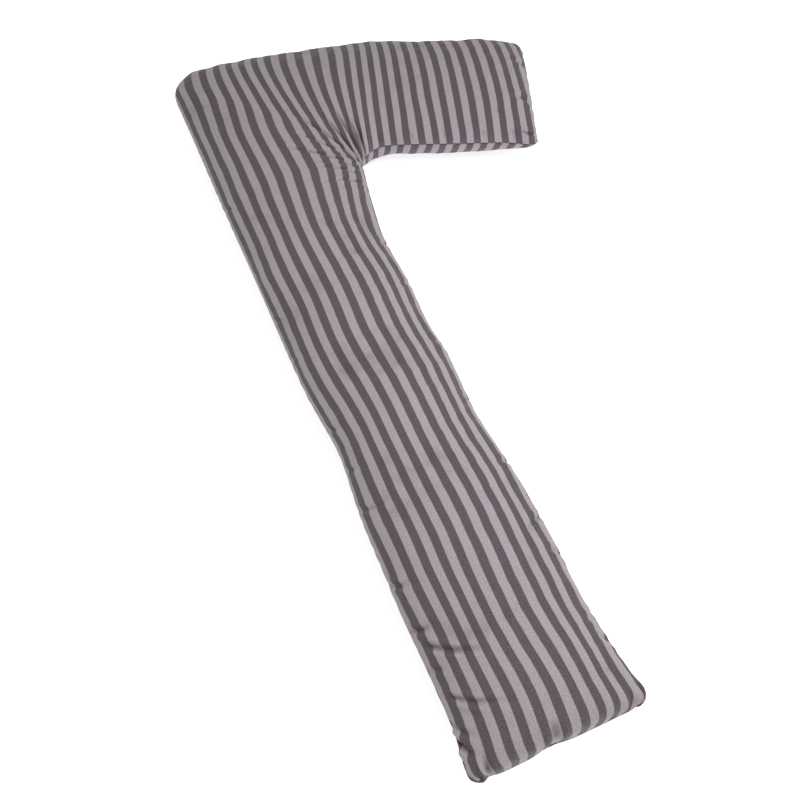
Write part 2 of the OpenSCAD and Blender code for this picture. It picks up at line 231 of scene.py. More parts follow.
def cut_panel(step):
    """The cut panel as triangles: points, faces and the number of points round its edge."""
    rim = cut_boundary(step)
    lo, hi = rim.min(0), rim.max(0)
    rows = np.arange(lo[1], hi[1], step * math.sqrt(3) / 2)
    grid = []
    for r, y in enumerate(rows):
        x = np.arange(lo[0] + (r % 2) * step / 2, hi[0], step)
        grid.append(np.stack([x, np.full(len(x), y)], -1))
    grid = np.concatenate(grid)
    grid = grid[inside(grid, rim)]
    near = np.concatenate([np.min(np.linalg.norm(g[:, None, :] - rim[None, :, :], axis=2), axis=1)
                           for g in np.array_split(grid, 12)])
    grid = grid[near > 0.62 * step]  # none of them crowds the rim
    pts = np.concatenate([rim, grid])
    n = len(rim)
    loop = list(range(n))[::-1]
    res = geometry.delaunay_2d_cdt([Vector(p) for p in pts], [], [loop], 1, 1e-7, True)
    first = np.array([o[0] if o else -1 for o in res[3]])
    tris = first[np.array(res[2])]
    p = pts[tris]
    u, v = p[:, 1] - p[:, 0], p[:, 2] - p[:, 0]
    area = u[:, 0] * v[:, 1] - u[:, 1] * v[:, 0]
    return pts, tris[inside(p.mean(1), rim) & (area > 1e-8)], n


def matched(side):
    """For many k of the cut, the k of the laid outline that the seam brings it to, on one side."""
    k = np.linspace(0, 3, 6001)
    cut, laid = run_of(CUT.sides(k)[side]), run_of(LAID.sides(k)[side])
    if side == 0:
        knots_laid = [0, LAID.arm_top, laid[-1]]
        knots_cut = [0, CUT.arm_top, cut[-1]]
    else:
        before, after = LAID.arm_top - 0.10, 0.28
        knots_laid = [0, before, laid[-1] - after, laid[-1]]
        knots_cut = [0, before * 1.017, cut[-1] - after * 1.015, cut[-1]]
    return k, np.interp(np.interp(cut, knots_cut, knots_laid), laid, k)


def sewn_sides(k):
    """Outer and inner points of the laid outline that the seam brings the cut's sides at each k to."""
    ks, outer = matched(0)
    inner = matched(1)[1]
    return LAID.sides(np.interp(k, ks, outer))[0], LAID.sides(np.interp(k, ks, inner))[1]


def start_shape(pts):
    """Where each point of the cut starts: its place in plan, its rise from 0 to 1, its (k, f) on the
    cut and its distance from the nearer free end."""
    k, f = CUT.place(pts)
    o, i = sewn_sides(k)
    t = np.pi * f
    plan = o + (i - o) * ((1 - np.cos(t)) / 2)[:, None]
    tip = np.where(k > 2, (3 - k) * (CUT.short - CUT.reach), FAR)
    end = np.minimum(np.minimum(k * CUT.arm_top, FAR), tip)
    g = 1 - np.clip(1 - end / 0.13, 0, 1) ** 2
    return plan, np.sin(t) * np.sqrt(g), k, f, end


def lower_copy(n, m):
    """The lower panel's points, when it shares the upper one's first n of m, which are the rim."""
    return np.concatenate([np.arange(n), np.arange(m, m + m - n)])


def inflate(pts, tris, n):
    """The sewn cover, inflated: positions of the points in the top and in the bottom panel."""
    plan, rise, k, f, end = start_shape(pts)
    plan = plan - SHIFT
    m = len(pts)
    bottom_of = lower_copy(n, m)
    faces = np.concatenate([tris, bottom_of[tris][:, ::-1]])
    flat = np.concatenate([pts, pts[n:]])
    up = np.column_stack([plan, SEAM_Z + 0.08 * rise])
    low = np.column_stack([plan, np.maximum(0.004, SEAM_Z - 0.078 * rise)])
    across = np.sqrt(np.clip(np.sin(np.pi * f[:n]), 0, 1)) * np.clip(1 - end[:n] / 0.02, 0, 1)
    near = k[:n] < 1
    up[:n, 2] -= np.where(near, END_DROP, TIP_DROP) * across
    tucked = sum(TUCK_IN * np.exp(-((pts[:n, 0] / CUT.width - at) / 0.045) ** 2) for at in END_TUCKS)
    up[:n, 1] += np.where(near, tucked - END_OUT, 0) * across
    start = np.concatenate([up, low[n:]])
    mesh = bpy.data.meshes.new("sewn")
    mesh.from_pydata(start.tolist(), [], faces.tolist())
    cover = bpy.data.objects.new("sewn", mesh)
    bpy.context.scene.collection.objects.link(cover)
    cover.shape_key_add(name="Basis")
    rest = cover.shape_key_add(name="cut")
    rest.data.foreach_set("co", np.column_stack([flat, np.zeros(len(flat))]).ravel())
    rest.value = 0.0
    held = cover.vertex_groups.new(name="held")
    held.add(list(range(n)), 1.0, "REPLACE")
    plane = bpy.data.meshes.new("ground")
    plane.from_pydata([(-3, -3, 0), (3, -3, 0), (3, 3, 0), (-3, 3, 0)], [], [(0, 1, 2, 3)])
    ground = bpy.data.objects.new("ground", plane)
    bpy.context.scene.collection.objects.link(ground)
    ground.modifiers.new("hit", "COLLISION")
    ground.collision.thickness_outer = 0.002
    cloth = cover.modifiers.new("cloth", "CLOTH")
    st = cloth.settings
    st.quality = 6
    st.mass = 0.1
    st.air_damping = 3.0
    st.tension_stiffness = 90
    st.compression_stiffness = 80
    st.shear_stiffness = 30
    st.bending_model = "ANGULAR"
    st.bending_stiffness = 0.01
    st.tension_damping = st.compression_damping = 5
    st.shear_damping = 5
    st.bending_damping = 0.5
    st.use_pressure = True
    st.uniform_pressure_force = PRESSURE
    st.vertex_group_mass = "held"
    st.pin_stiffness = 1.0
    st.rest_shape_key = rest
    st.effector_weights.gravity = 0.0
    cloth.collision_settings.collision_quality = 2
    cloth.collision_settings.distance_min = 0.003
    cloth.collision_settings.use_self_collision = False
    scene = bpy.context.scene
    cloth.point_cache.frame_start, cloth.point_cache.frame_end = 1, FRAMES
    scene.frame_start, scene.frame_end = 1, FRAMES
    for fr in range(1, FRAMES + 1):
        scene.frame_set(fr)
    ev = cover.evaluated_get(bpy.context.evaluated_depsgraph_get())
    co = np.empty(3 * len(start))
    ev.to_mesh().vertices.foreach_get("co", co)
    co = co.reshape(-1, 3)
    scene.frame_set(1)
    for o in (cover, ground):
        bpy.data.objects.remove(o)
    return co[:m], co[bottom_of]


ZIP_EASE = 0.03  # how far past the zip's ends its gap closes
ZIP_SIDE = 0.014  # how near the straight outer edge the rim can carry the zip
STRIPE = 0.0255  # a dark and a pale stripe together
# Half the gap between the panels' edges, at the seam and at the zip
LIP, ZIP_LIP = 0.0010, 0.0034
# How far the edge's last points are drawn to their neighbours, and the rings of the edge folded in
# behind them: the share of the gap that each keeps, and its distance in from the seam
EDGE_PULL = 0.28
FOLD_IN = ((1.0, 0.0), (0.55, 0.0012), (0.45, 0.0045))


def stripe_count(cut):
    """How many stripes in from the outer seam each point of the cut is. The gathers at the inner corner
    and the fold of the short arm take up some of the cloth there, and the arm's sides some more."""
    x, y = cut[:, 0] / STRIPE, cut[:, 1]
    taken = 0.19 * np.clip(x - 9.3, 0, 10.6) + 0.1 * np.clip(x - 19.9, 0, 12)
    far = 1.4 * smooth_step(-0.34, -0.04, y) * (1 - smooth_step(13, 21, x)) * smooth_step(0.5, 6, x)
    near = smooth_step(-0.9, -1.35, y)
    outer = (0.42 + 0.42 * near) * np.exp(-((x - 3) / 2.5) ** 2)
    at_end = 0.32 + 0.25 * smooth_step(-1.3, -1.5, y)
    inner = at_end * np.exp(-((x - 9.6) / 2) ** 2) * smooth_step(-0.4, -0.55, y)
    return x - taken - far - outer + inner


def at_zip(y):
    """1 along the zip, easing to 0 past its ends."""
    return np.clip(1 + np.minimum(y - ZIP_FROM, ZIP_TO - y) / ZIP_EASE, 0, 1)


def new_object(name, verts, faces, flat=None, subsurf=0):
    """A smooth-shaded mesh object. flat is kept on its points as the attribute "cut"."""
    mesh = bpy.data.meshes.new(name)
    mesh.from_pydata(np.asarray(verts).tolist(), [], [list(map(int, f)) for f in faces])
    mesh.update()
    mesh.polygons.foreach_set("use_smooth", np.ones(len(mesh.polygons), bool))
    if flat is not None:
        a = mesh.attributes.new("cut", "FLOAT_VECTOR", "POINT")
        a.data.foreach_set("vector", flat.ravel())
    o = bpy.data.objects.new(name, mesh)
    bpy.context.scene.collection.objects.link(o)
    if subsurf:
        m = o.modifiers.new("smooth", "SUBSURF")
        m.levels = m.render_levels = subsurf
        m.boundary_smooth = "PRESERVE_CORNERS"
    return o


def edges_of(tris):
    """The triangles' edges, each once, as pairs of points."""
    pairs = np.concatenate([tris[:, [0, 1]], tris[:, [1, 2]], tris[:, [2, 0]]])
    return np.unique(np.sort(pairs, axis=1), axis=0)


def smoothed(p, tris, n):
    """Points moved half way to the mean of their neighbours, the rim kept."""
    e = edges_of(tris)
    total, count = np.zeros_like(p), np.zeros(len(p))
    for a, b in ((e[:, 0], e[:, 1]), (e[:, 1], e[:, 0])):
        np.add.at(total, a, p[b])
        np.add.at(count, a, 1)
    mean = total / count[:, None]
    q = p + 0.5 * (mean - p)
    q[:n] = p[:n]
    return q


def arc_table():
    """For chord over cloth length r and place f: the shift from a round to an oval cross-section."""
    rs, fs = np.linspace(0.62, 0.97, 36), np.linspace(0, 1, 61)
    out = np.zeros((len(rs), len(fs), 2))
    t = np.linspace(0, np.pi, 721)
    for a, r in enumerate(rs):
        lo, hi = 0.01, 3.0
        for _ in range(40):
            mid = (lo + hi) / 2
            lo, hi = (mid, hi) if math.sin(mid) / mid > r else (lo, mid)
        q = lo * (2 * fs - 1)
        round_x, round_z = 0.5 * r + np.sin(q) / (2 * lo), (np.cos(q) - math.cos(lo)) / (2 * lo)
        lo, hi = 0.0, 1.0
        for _ in range(40):
            b = (lo + hi) / 2
            x, z = 0.5 * r * (1 - np.cos(t)), b * np.sin(t)
            run = np.concatenate([[0], np.cumsum(np.hypot(np.diff(x), np.diff(z)))])
            lo, hi = (b, hi) if run[-1] < 1 else (lo, b)
        out[a, :, 0] = np.interp(fs, run / run[-1], x) - round_x
        out[a, :, 1] = np.interp(fs, run / run[-1], z) - round_z
    return rs, fs, out


def ovalled(p, pts, amount):
    """The crown made fuller at its sides and flatter on top, as packed fibre makes it."""
    _, _, k, f, end = start_shape(pts)
    o, i = sewn_sides(k)
    co, ci = CUT.sides(k)
    cloth = np.linalg.norm(ci - co, axis=1) * 1.01
    r = np.clip(np.linalg.norm(i - o, axis=1) / cloth, 0.62, 0.97)
    rs, fs, table = arc_table()
    u, v = (r - rs[0]) / (rs[1] - rs[0]), f / (fs[1] - fs[0])
    a, b = np.minimum(u.astype(int), len(rs) - 2), np.minimum(v.astype(int), len(fs) - 2)
    u, v = (u - a)[:, None], (v - b)[:, None]
    d = ((1 - u) * (1 - v) * table[a, b] + u * (1 - v) * table[a + 1, b]
         + (1 - u) * v * table[a, b + 1] + u * v * table[a + 1, b + 1]) * cloth[:, None]
    along = (i - o) / np.linalg.norm(i - o, axis=1)[:, None]
    fade = amount * np.clip(end / 0.15, 0, 1)
    q = p.copy()
    q[:, :2] += along * (d[:, 0] * fade)[:, None]
    q[:, 2] += d[:, 1] * fade
    return q


def rim_inward(rim):
    """Level direction into the pillow at each point of the rim."""
    t = np.roll(rim, -1, 0)[:, :2] - np.roll(rim, 1, 0)[:, :2]
    t /= np.linalg.norm(t, axis=1)[:, None]
    return np.column_stack([t[:, 1], -t[:, 0], np.zeros(len(t))])


def on_heading(start, degrees, length):
    """The line of the given length from start, as its two ends."""
    a = math.radians(degrees)
    return np.array(start), np.array(start) + length * np.array([math.cos(a), math.sin(a)])


def crease_lines():
    """Creases of the upper panel as (from, to, depth, half width, how far from the seam it is full)."""
    lines = []
    # A fan about the inner corner, longest in its middle, that swings round to lie across the long arm
    fan = 9
    for i in range(fan):
        u = i / (fan - 1)
        round_by, out = math.radians(100 + 100 * u), CUT.r_in + 0.010 + 0.045 * u
        start = CUT.centre + out * np.array([math.cos(round_by), math.sin(round_by)])
        length = 0.10 + 0.10 * math.sin(math.pi * u) - 0.03 * (i % 2)
        lines.append((*on_heading(start, 94 + 90 * u ** 1.8, length), 0.0056 - 0.0018 * u, 0.0042, 0.014))
    # Short ones drawn in from the seams, unevenly, more of them towards the free end
    rng = np.random.default_rng(5)
    for inner in (False, True):
        e = 0.09
        while e < 1.15:
            y, slant = e - CUT.long, rng.uniform(8, 38)
            start = (CUT.width - 0.010, y) if inner else (0.010, y)
            depth = rng.uniform(0.0014, 0.0034) * (1.35 - 0.6 * e)
            heading = 180 + slant * rng.choice((-0.6, 0.6)) if inner else -slant
            lines.append((*on_heading(start, heading, rng.uniform(0.04, 0.09)), depth, 0.0042, 0.036))
            e += rng.uniform(0.05, 0.11) * (1 + 0.9 * e)
    # Two longer folds across the long arm, near its free end
    for e in (0.115, 0.190):
        lines.append((*on_heading((0.045, e - CUT.long), -28, 0.09), 0.0046, 0.0040, 0.02))
    # Light gathers of the free end's seam, leaning in towards its middle, and its deeper tucks
    places = [(f, 0.0024, rng.uniform(0.018, 0.034)) for f in rng.uniform(0.05, 0.97, 9)]
    places += [(f, 0.0062, 0.036) for f in END_TUCKS]
    for f, depth, length in places:
        lines.append((*on_heading((f * CUT.width, 0.003 - CUT.long), 90 + 50 * (f - 0.5), length),
                      depth, 0.0050, 0.010))
    # The tuck beside the free end's outer corner
    lines.append((*on_heading((0.006, 0.070 - CUT.long), -36, 0.06), 0.0080, 0.0055, 0.012))
    # The short arm: its tip's seam and its inner seam
    tip, inward = CUT.edge(np.array([CUT.short - 0.004]))
    for f in (0.16, 0.42, 0.66, 0.88):
        start = tip[0] + f * CUT.depth * inward[0]
        lines.append((*on_heading(start, 168 + 24 * (f - 0.5), 0.05 + 0.02 * f), 0.0040, 0.0048, 0.030))
    for reach in (0.45, 0.53, 0.60, 0.68, 0.74):
        p, inward = CUT.edge(np.array([reach]))
        start = p[0] + (CUT.depth - 0.008) * inward[0]
        lines.append((*on_heading(start, 100 - 40 * (reach - 0.5), 0.05), 0.0028, 0.0045, 0.034))
    return lines


def waves(rng, at, scale, count=20):
    """A smooth random field of about unit size, made of waves about scale long."""
    out = np.zeros(len(at))
    for _ in range(count):
        a = rng.uniform(0, 2 * math.pi)
        k = 2 * math.pi / scale * rng.uniform(0.7, 1.5)
        phase = rng.uniform(0, 6.28)
        out += np.sin(k * (at[:, 0] * math.cos(a) + at[:, 1] * math.sin(a)) + phase)
    return out / math.sqrt(count / 2)


def from_seam(cut):
    """Each point's place across the cut, from 0 to 1, and its distance from the nearest seam."""
    k, f = CUT.place(cut)
    o, i = CUT.sides(k)
    wide = np.linalg.norm(i - o, axis=1)
    tip = np.where(k > 2, (3 - k) * (CUT.short - CUT.reach), 1.0)
    end = np.minimum(k * CUT.arm_top, tip)
    return f, np.minimum(np.minimum(f, 1 - f) * wide, end)


def grooves(cut, d):
    """Height of the creases: a groove with a low puff on each side, deepest near its start."""
    out = np.zeros(len(cut))
    for a, b, depth, half, full_at in crease_lines():
        length = np.linalg.norm(b - a)
        t = np.clip(((cut - a) @ (b - a)) / length ** 2, -0.1, 1.1)
        bow = 0.05 * length * np.sin(math.pi * np.clip(t, 0, 1))
        across = np.array([b[1] - a[1], a[0] - b[0]]) / length
        line = a + t[:, None] * (b - a) + bow[:, None] * across
        r = np.linalg.norm(cut - line, axis=1) / half
        fade = smooth_step(-0.1, 0.12, t) * (1 - smooth_step(0.35, 1.08, t)) * smooth_step(0.001, full_at, d)
        out += depth * fade * (0.42 * np.exp(-((r - 2.1) / 1.1) ** 2) - np.exp(-r ** 2))
    return out


def relief(cut, side):
    """How far the cloth stands out from its smooth shape: lumps of fibre, puckers at the seam, creases."""
    f, d = from_seam(cut)
    rng = np.random.default_rng(11 if side > 0 else 12)
    lumps = 0.0010 * waves(rng, cut, 0.21) + 0.0006 * waves(rng, cut, 0.06) + 0.00025 * waves(rng, cut, 0.024)
    s = cut[:, 0] - cut[:, 1]
    size = 0.55 + 0.45 * np.sin(2 * math.pi * s / 0.37 + 0.8 + 3 * f)
    ripple = np.sin(2 * math.pi * s / 0.027 + 1.6 * np.sin(2 * math.pi * s / 0.19)) * size
    pucker = 0.0009 * ripple * np.exp(-(d / 0.017) ** 2) * smooth_step(0, 0.003, d)
    creases = grooves(cut, d) if side > 0 else 0
    return lumps * smooth_step(0.004, 0.06, d) + pucker + creases


def ring_faces(a, b, n, flip):
    """Four-sided faces between two closed rings of n points that start at a and at b."""
    i = np.arange(n)
    j = (i + 1) % n
    f = np.column_stack([a + i, a + j, b + j, b + i])
    return f[:, ::-1] if flip else f


def panel(name, p, flat, tris, n, side):
    """One panel of the cover, its edge folded in to the seam. side is 1 for the top, -1 for the bottom."""
    rim, inward = p[:n].copy(), rim_inward(p[:n])
    w = np.where(rim[:, 0] < EDGE_X + ZIP_SIDE, at_zip(rim[:, 1]), 0)[:, None]
    lift = np.zeros_like(rim)
    lift[:, 2:] = side * (LIP + (ZIP_LIP - LIP) * w)
    total, count = np.zeros_like(rim), np.zeros(n)
    total_flat = np.zeros((n, 3))
    e = edges_of(tris)
    e = e[(e[:, 0] < n) & (e[:, 1] >= n)]
    np.add.at(total, e[:, 0], p[e[:, 1]])
    np.add.at(total_flat, e[:, 0], flat[e[:, 1]])
    np.add.at(count, e[:, 0], 1)
    lone = count == 0
    count[lone] = 1
    mean, mean_flat = total / count[:, None], total_flat / count[:, None]
    mean[lone], mean_flat[lone] = rim[lone] + 0.005 * inward[lone], flat[:n][lone]
    first, first_flat = p.copy(), flat.copy()
    first[:n] = rim + lift + EDGE_PULL * (mean - rim)
    first_flat[:n] = flat[:n] + EDGE_PULL * (mean_flat - flat[:n])
    out = flat[:n] - mean_flat
    out /= np.maximum(np.linalg.norm(out, axis=1), 1e-6)[:, None]
    verts, flats = [first], [first_flat]
    faces = [list(f) for f in (tris if side > 0 else tris[:, ::-1])]
    prev, at = 0, len(p)
    for part, d in FOLD_IN:
        verts.append(rim + lift * part + d * inward)
        flats.append(flat[:n] + d * out)
        faces += [list(q) for q in ring_faces(prev, at, n, side < 0)]
        prev, at = at, at + n
    return new_object(name, np.concatenate(verts), faces, np.concatenate(flats), subsurf=1)


def per_vertex(mesh):
    """The mesh's points, its normals and its places on the cut."""
    out = np.empty((3, 3 * len(mesh.vertices)))
    mesh.vertices.foreach_get("co", out[0])
    mesh.vertex_normals.foreach_get("vector", out[1])
    mesh.attributes["cut"].data.foreach_get("vector", out[2])
    return out.reshape(3, -1, 3)


def split_near_creases(mesh):
    """Halves the mesh's edges where a crease runs, so that it stays sharp."""
    cut = per_vertex(mesh)[2][:, :2]
    near = np.abs(grooves(cut, from_seam(cut)[1])) > 0.0005
    bm = bmesh.new()
    bm.from_mesh(mesh)
    edges = [e for e in bm.edges if near[e.verts[0].index] and near[e.verts[1].index]]
    bmesh.ops.subdivide_edges(bm, edges=edges, cuts=1, use_grid_fill=True)
    bm.to_mesh(mesh)
    bm.free()


def creased(o, side):
    """Bakes the object's smooth mesh and presses the cloth's relief into it. It also keeps how deep each
    point lies in a crease, for the painted shade in the cloth's colour.
    """
    bpy.context.view_layer.update()
    fine = bpy.data.meshes.new_from_object(o.evaluated_get(bpy.context.evaluated_depsgraph_get()))
    o.modifiers.clear()
    o.data = fine
    if side > 0:
        split_near_creases(fine)
    p, nrm, cut = per_vertex(fine)
    height = relief(cut[:, :2], side)
    q = p + nrm * height[:, None]
    if side < 0:
        q[:, 2] = np.maximum(q[:, 2], np.minimum(p[:, 2], 0.0025))
    # How deep each point lies in a crease; the cloth's colour is darkened there as painted shade.
    fold = fine.attributes.new("fold", "FLOAT", "POINT")
    fold.data.foreach_set("value", np.clip(-height / 0.004 - 0.3, 0, 1))
    fine.vertices.foreach_set("co", q.ravel())
    fine.polygons.foreach_set("use_smooth", np.ones(len(fine.polygons), bool))
    fine.update()


# ---------------------------------------------------------------- materials
def srgb(r, g, b):
    """An 8-bit sRGB colour in the linear values that shaders take."""
    shares = [c / 255 for c in (r, g, b)]
    return tuple(c / 12.92 if c < 0.04045 else ((c + 0.055) / 1.055) ** 2.4 for c in shares) + (1.0,)


class Nodes:
    """A new node material and short ways to wire it."""

    def __init__(self, name):
        self.mat = bpy.data.materials.new(name)
        self.mat.use_nodes = True
        self.tree = self.mat.node_tree
        self.shader = self.tree.nodes["Principled BSDF"]

    def node(self, kind, **values):
        n = self.tree.nodes.new(kind)
        for key, v in values.items():
            setattr(n, key, v)
        return n

    def put(self, socket, v):
        if isinstance(v, bpy.types.NodeSocket):
            self.tree.links.new(v, socket)
        elif v is not None:
            socket.default_value = v

    def math(self, op, a, b=None, c=None):
        n = self.node("ShaderNodeMath", operation=op)
        for s, v in zip(n.inputs, (a, b, c)):
            self.put(s, v)
        return n.outputs[0]

    def mix(self, f, a, b):
        n = self.node("ShaderNodeMix", data_type="RGBA")
        self.put(n.inputs[0], f)
        self.put(n.inputs[6], a)
        self.put(n.inputs[7], b)
        return n.outputs[2]

    def noise(self, where, scale, detail=2.0, rough=0.5):
        n = self.node("ShaderNodeTexNoise")
        self.put(n.inputs["Vector"], where)
        n.inputs["Scale"].default_value = scale
        n.inputs["Detail"].default_value = detail
        n.inputs["Roughness"].default_value = rough
        return n.outputs[0]

    def step(self, v, lo, hi):
        n = self.node("ShaderNodeMapRange", interpolation_type="SMOOTHSTEP")
        self.put(n.inputs["Value"], v)
        n.inputs["From Min"].default_value, n.inputs["From Max"].default_value = lo, hi
        return n.outputs["Result"]

    def bump(self, height, strength, distance):
        n = self.node("ShaderNodeBump")
        n.inputs["Strength"].default_value = strength
        n.inputs["Distance"].default_value = distance
        self.put(n.inputs["Height"], height)
        self.put(self.shader.inputs["Normal"], n.outputs[0])


def striped(name, shift):
    """Woven two-tone stripes, dark where the stripe count is near a whole number, less shift. The attribute
    "cut" holds the flat cut's x and y and the count, and "fold" how deep in a crease it is, where the colour
    is darkened as painted shade."""
    m = Nodes(name)
    cut = m.node("ShaderNodeAttribute", attribute_name="cut").outputs["Vector"]
    sep = m.node("ShaderNodeSeparateXYZ")
    m.put(sep.inputs[0], cut)
    x, y, count = sep.outputs[0], sep.outputs[1], sep.outputs[2]
    flat = m.node("ShaderNodeCombineXYZ")
    m.put(flat.inputs[0], x)
    m.put(flat.inputs[1], y)
    cut = flat.outputs[0]
    drift = m.math("MULTIPLY", m.math("SUBTRACT", m.noise(cut, 4.5, 2.0), 0.5), 0.40)
    turns = m.math("ADD", m.math("ADD", count, drift), 0.5 + shift)
    away = m.math("ABSOLUTE", m.math("SUBTRACT", m.math("FRACT", turns), 0.5))
    light = m.step(away, 0.25 - 0.028, 0.25 + 0.028)
    heather = m.step(m.noise(cut, 500.0, 3.0, 0.7), 0.30, 0.70)
    cloud = m.noise(cut, 14.0, 3.0, 0.55)
    dark = m.mix(heather, DARK_A, DARK_B)
    pale = m.mix(heather, PALE_A, PALE_B)
    # Painted shade: the colour is drawn up to 42% of the way towards a dark tone where a crease is deepest.
    fold = m.node("ShaderNodeAttribute", attribute_name="fold").outputs["Fac"]
    crease_shade = m.math("MULTIPLY", fold, 0.42)
    m.put(m.shader.inputs["Base Color"], m.mix(crease_shade, m.mix(light, dark, pale), CREASE_SHADE_TONE))
    m.put(m.shader.inputs["Roughness"], m.math("MULTIPLY_ADD", cloud, 0.12, 0.80))
    m.shader.inputs["Specular IOR Level"].default_value = 0.18
    m.shader.inputs["Sheen Weight"].default_value = 0.12
    m.shader.inputs["Sheen Roughness"].default_value = 0.5
    warp = m.math("SINE", m.math("MULTIPLY", x, 2 * math.pi / 0.0009))
    weft = m.math("SINE", m.math("MULTIPLY", y, 2 * math.pi / 0.0009))
    weave = m.math("MULTIPLY", warp, weft)
    crease = m.noise(cut, 38.0, 4.0, 0.55)
    height = m.math("ADD", m.math("MULTIPLY", weave, 0.00006), m.math("MULTIPLY", crease, 0.0022))
    m.bump(height, 0.9, 1.0)
    return m.mat


def plain(name, base_a, base_b, rough, scale, strength, depth):
    """A material with two close tones mixed by a fine noise, and a bump of that noise."""
    m = Nodes(name)
    at = m.node("ShaderNodeTexCoord").outputs["Object"]
    grain = m.noise(at, scale, 4.0, 0.6)
    m.put(m.shader.inputs["Base Color"], m.mix(grain, base_a, base_b))
    m.put(m.shader.inputs["Roughness"], m.math("MULTIPLY_ADD", grain, 0.15, rough - 0.07))
    m.shader.inputs["Specular IOR Level"].default_value = 0.25
    m.bump(grain, strength, depth)
    return m.mat


# ---------------------------------------------------------------- the cover
DARK_A, DARK_B = srgb(74, 66, 71), srgb(98, 90, 95)
PALE_A, PALE_B = srgb(142, 134, 139), srgb(170, 161, 166)
# Painted shade: the dark tone that the cloth's colour is drawn towards in its creases
CREASE_SHADE_TONE = srgb(58, 52, 56)
OVAL = 0.8  # how far the cross-section goes from round to oval
END_SLACK = 0.24  # how much lower the long arm's crown is at its free end

pts, tris, n = cut_panel(CELL)
top, low = inflate(pts, tris, n)
top, low = smoothed(top, tris, n), smoothed(low, tris, n)
top = ovalled(top, pts, OVAL)
from_end = top[:, 1] - FREE_END_Y
arm = 1 - smooth_step(0.25, 0.45, top[:, 1])
fullness = 1 - arm * END_SLACK * (1 - smooth_step(0.08, 0.5, from_end))
top[n:, 2] = (SEAM_Z + (top[:, 2] - SEAM_Z) * fullness)[n:]
count = stripe_count(pts)

cloth = np.column_stack([pts, count])
cover_top = panel("cover_top", top, cloth, tris, n, 1)
cover_bottom = panel("cover_bottom", low, cloth, tris, n, -1)
creased(cover_top, 1)
creased(cover_bottom, -1)
cover_top.data.materials.append(striped("cover_cloth_top", 0.0))
cover_bottom.data.materials.append(striped("cover_cloth_bottom", 0.5))
for o, node in ((cover_top, "cover_top_panel"), (cover_bottom, "cover_bottom_panel")):
    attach(o, "pillow")
    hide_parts(node)


# ---------------------------------------------------------------- inner case and filling
# How far the case and the filling stand in from the cover, and how much further at its rim
CASE_IN, FILL_IN, RIM_BACK = 0.0040, 0.0065, 0.009
TUCK = 0.011  # how far they keep behind the zip


def normals(p, tris):
    """Unit normal at each point of a surface."""
    a, b, c = p[tris[:, 0]], p[tris[:, 1]], p[tris[:, 2]]
    f = np.cross(b - a, c - a)
    out = np.zeros_like(p)
    for j in range(3):
        np.add.at(out, tris[:, j], f)
    return out / np.maximum(np.linalg.norm(out, axis=1), 1e-12)[:, None]


def hollow_near(cut, side):
    """How deep the cover's relief goes anywhere within a mesh cell of each point."""
    turns = np.linspace(0, 2 * math.pi, 8, endpoint=False)
    ring = [CELL * r * np.array([math.cos(a), math.sin(a)]) for r in (0.45, 0.95) for a in turns]
    return -np.minimum(0, np.min([relief(cut + o, side) for o in ring + [np.zeros(2)]], axis=0))


def inset(p, tris, n, side, d):
    """The cover's surface brought d inwards, under its creases and behind the zip."""
    nrm = side * normals(p, tris)
    q = p - (d + HOLLOW[side])[:, None] * nrm
    q[:n] = p[:n] + (d + RIM_BACK) * rim_inward(p[:n])
    w = np.where(p[:, 0] < EDGE_X + 0.12, at_zip(p[:, 1]), 0) * np.exp(-((p[:, 2] - SEAM_Z) / 0.016) ** 2)
    q[:, 0] = np.maximum(q[:, 0], -SHIFT[0] + d + TUCK * w)
    q[:, 2] = np.maximum(q[:, 2], d)
    return q


def doubled(name, outer, inner, tris, n, side):
    """A layer of cloth between two surfaces, joined round the rim."""
    m = len(outer)
    faces = [list(f) for f in (tris if side > 0 else tris[:, ::-1])]
    faces += [[m + v for v in f] for f in (tris[:, ::-1] if side > 0 else tris)]
    faces += [list(f) for f in ring_faces(0, m, n, side < 0)]
    return new_object(name, np.concatenate([outer, inner]), faces)


case_cloth = plain("case_cloth", srgb(238, 236, 230), srgb(248, 246, 241), 0.85, 900.0, 0.4, 0.0004)
fibre = plain("fibre_wadding", srgb(244, 243, 239), srgb(255, 254, 250), 0.95, 160.0, 0.8, 0.002)
HOLLOW = {1: hollow_near(pts, 1), -1: hollow_near(pts, -1)}
for side, p, word in ((1, top, "top"), (-1, low, "bottom")):
    a = inset(p, tris, n, side, CASE_IN)
    b = inset(p, tris, n, side, CASE_IN + 0.001)
    for q, lift in ((a, 0.0008), (b, 0.0003)):
        q[:n, 2] = p[:n, 2] + side * lift
    o = doubled("case_" + word, a, b, tris, n, side)
    o.data.materials.append(case_cloth)
    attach(o, "pillow")
    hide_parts("inner_case_" + word)

a, b = inset(top, tris, n, 1, FILL_IN), inset(low, tris, n, -1, FILL_IN)
a[:n, 2] = top[:n, 2]
faces = np.concatenate([tris, lower_copy(n, len(a))[tris][:, ::-1]])
fill = new_object("fibre_filling", np.concatenate([a, b[n:]]), faces)
fill.data.materials.append(fibre)
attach(fill, "pillow")
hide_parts("fibre_fill")


